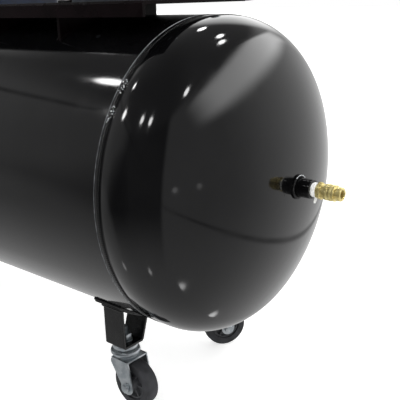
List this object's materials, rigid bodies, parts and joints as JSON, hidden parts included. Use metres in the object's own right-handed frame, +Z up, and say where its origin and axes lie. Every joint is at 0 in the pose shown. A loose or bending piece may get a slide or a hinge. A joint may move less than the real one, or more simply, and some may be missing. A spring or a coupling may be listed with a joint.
{
  "type": "air compressor",
  "caption": "Belt-driven piston air compressor on a horizontal black steel tank with dished heads, bracket legs, swivel casters and a brass quick coupler.",
  "frame": {"origin": "on the floor, below the middle of the machine's bounding box", "axes": "+X along the tank towards the outlet coupler, -Y is the front, +Z is up"},
  "size_m": [1.4506, 0.4522, 0.9443],
  "materials": {
    "tank_black": "gloss",
    "frame_black": "gloss",
    "deck_black": "satin",
    "zinc": "satin",
    "rubber_grey": "matte",
    "hub_grey": "matte",
    "belt_rubber": "matte",
    "cast_paint": "satin",
    "motor_paint": "satin",
    "cast_iron": "matte",
    "alloy": "satin",
    "steel": "satin",
    "copper_tube": "satin",
    "brass": "polished",
    "black_plastic": "matte",
    "red_plastic": "gloss",
    "tape_white": "matte",
    "tube_plastic": "gloss"
  },
  "bodies": {
    "frame": {"tank_shell": "tank_black", "head_right": "tank_black", "head_left": "tank_black", "outlet_socket": "frame_black", "leg_saddles": "frame_black", "leg_brackets": "frame_black", "caster_stems": "zinc", "deck_plate": "deck_black", "deck_webs": "deck_black", "deck_bolts": "zinc", "motor_frame": "motor_paint", "motor_shields": "motor_paint", "motor_fan_cover": "black_plastic", "terminal_box": "motor_paint", "terminal_lid": "motor_paint", "cable_gland": "black_plastic", "crankcase": "cast_paint", "crankcase_cover": "cast_paint", "oil_cap": "black_plastic", "crank_bearings": "steel", "cylinders": "cast_paint", "cylinder_heads": "alloy", "air_filters": "black_plastic", "discharge_tube": "copper_tube", "drive_belt": "belt_rubber", "belt_guard": "deck_black", "check_valve": "brass", "manifold": "brass", "pressure_switch": "black_plastic", "tank_gauge": "steel", "safety_valve": "brass", "drain_cock": "brass", "unloader_tube": "tube_plastic", "coupler_body": "brass", "seal_tape": "tape_white"},
    "fork_front_right_body": {"fork_front_right": "zinc"},
    "wheel_front_right": {"hub_front_right": "hub_grey", "tyre_front_right": "rubber_grey"},
    "fork_rear_right_body": {"fork_rear_right": "zinc"},
    "wheel_rear_right": {"hub_rear_right": "hub_grey", "tyre_rear_right": "rubber_grey"},
    "fork_front_left_body": {"fork_front_left": "zinc"},
    "wheel_front_left": {"hub_front_left": "hub_grey", "tyre_front_left": "rubber_grey"},
    "fork_rear_left_body": {"fork_rear_left": "zinc"},
    "wheel_rear_left": {"hub_rear_left": "hub_grey", "tyre_rear_left": "rubber_grey"},
    "motor_shaft": {"motor_rotor": "steel", "motor_fan": "black_plastic", "motor_pulley": "cast_iron"},
    "crank": {"crankshaft": "steel", "flywheel": "cast_iron"},
    "piston_right_body": {"piston_right": "alloy"},
    "piston_left_body": {"piston_left": "alloy"},
    "switch_knob_body": {"switch_knob": "red_plastic"},
    "needle": {"gauge_needle": "black_plastic"},
    "regulator_knob_body": {"regulator_knob": "black_plastic"},
    "safety_ring_body": {"safety_ring": "steel"},
    "drain_handle_body": {"drain_handle": "brass"},
    "sleeve": {"coupler_sleeve": "brass"}
  },
  "joints": [
    {"name": "swivel_front_right", "type": "hinge", "parent": "frame", "child": "fork_front_right_body", "pos_m": [0.429, -0.108, 0.095], "axis": [0, 0, 1], "continuous": true},
    {"name": "roll_front_right", "type": "hinge", "parent": "fork_front_right_body", "child": "wheel_front_right", "pos_m": [0.449, -0.108, 0.0375], "axis": [0, 1, 0], "continuous": true},
    {"name": "swivel_rear_right", "type": "hinge", "parent": "frame", "child": "fork_rear_right_body", "pos_m": [0.429, 0.108, 0.095], "axis": [0, 0, 1], "continuous": true},
    {"name": "roll_rear_right", "type": "hinge", "parent": "fork_rear_right_body", "child": "wheel_rear_right", "pos_m": [0.439, 0.12532, 0.0375], "axis": [-0.866, 0.5, 0], "continuous": true},
    {"name": "swivel_front_left", "type": "hinge", "parent": "frame", "child": "fork_front_left_body", "pos_m": [-0.495, -0.108, 0.095], "axis": [0, 0, 1], "continuous": true},
    {"name": "roll_front_left", "type": "hinge", "parent": "fork_front_left_body", "child": "wheel_front_left", "pos_m": [-0.47621, -0.11484, 0.0375], "axis": [0.342, 0.9397, 0], "continuous": true},
    {"name": "swivel_rear_left", "type": "hinge", "parent": "frame", "child": "fork_rear_left_body", "pos_m": [-0.495, 0.108, 0.095], "axis": [0, 0, 1], "continuous": true},
    {"name": "roll_rear_left", "type": "hinge", "parent": "fork_rear_left_body", "child": "wheel_rear_left", "pos_m": [-0.4753, 0.11147, 0.0375], "axis": [-0.1736, 0.9848, 0], "continuous": true},
    {"name": "motor_turn", "type": "hinge", "parent": "frame", "child": "motor_shaft", "pos_m": [0.427, 0.12, 0.7112], "axis": [0, 1, 0], "continuous": true},
    {"name": "crank_turn", "type": "hinge", "parent": "frame", "child": "crank", "pos_m": [0.047, 0.12, 0.7542], "axis": [0, 1, 0], "continuous": true},
    {"name": "piston_right_stroke", "type": "slide", "parent": "frame", "child": "piston_right_body", "axis": [0.7071, 0, 0.7071], "range_m": [-0.022, 0.022]},
    {"name": "piston_left_stroke", "type": "slide", "parent": "frame", "child": "piston_left_body", "axis": [-0.7071, 0, 0.7071], "range_m": [-0.022, 0.022]},
    {"name": "switch_pull", "type": "slide", "parent": "frame", "child": "switch_knob_body", "axis": [0, 0, 1], "range_m": [0, 0.006]},
    {"name": "needle_swing", "type": "hinge", "parent": "frame", "child": "needle", "pos_m": [-0.33, -0.044, 0.658], "axis": [0, 1, 0], "range_deg": [0, 270]},
    {"name": "regulator_turn", "type": "hinge", "parent": "frame", "child": "regulator_knob_body", "pos_m": [-0.395, 0, 0.658], "axis": [1, 0, 0], "range_deg": [-360, 720]},
    {"name": "safety_pull", "type": "slide", "parent": "frame", "child": "safety_ring_body", "axis": [0, 0, 1], "range_m": [0, 0.004], "stiffness_N_per_m": 1500},
    {"name": "drain_turn", "type": "hinge", "parent": "frame", "child": "drain_handle_body", "pos_m": [-0.02, 0, 0.1], "axis": [0, 0, 1], "range_deg": [0, 360]},
    {"name": "sleeve_pull", "type": "slide", "parent": "frame", "child": "sleeve", "axis": [-1, 0, 0], "range_m": [0, 0.004], "stiffness_N_per_m": 800}
  ],
  "couplings": [
    {"joint": "crank_turn", "follows": "motor_turn", "ratio": 0.31034}
  ]
}
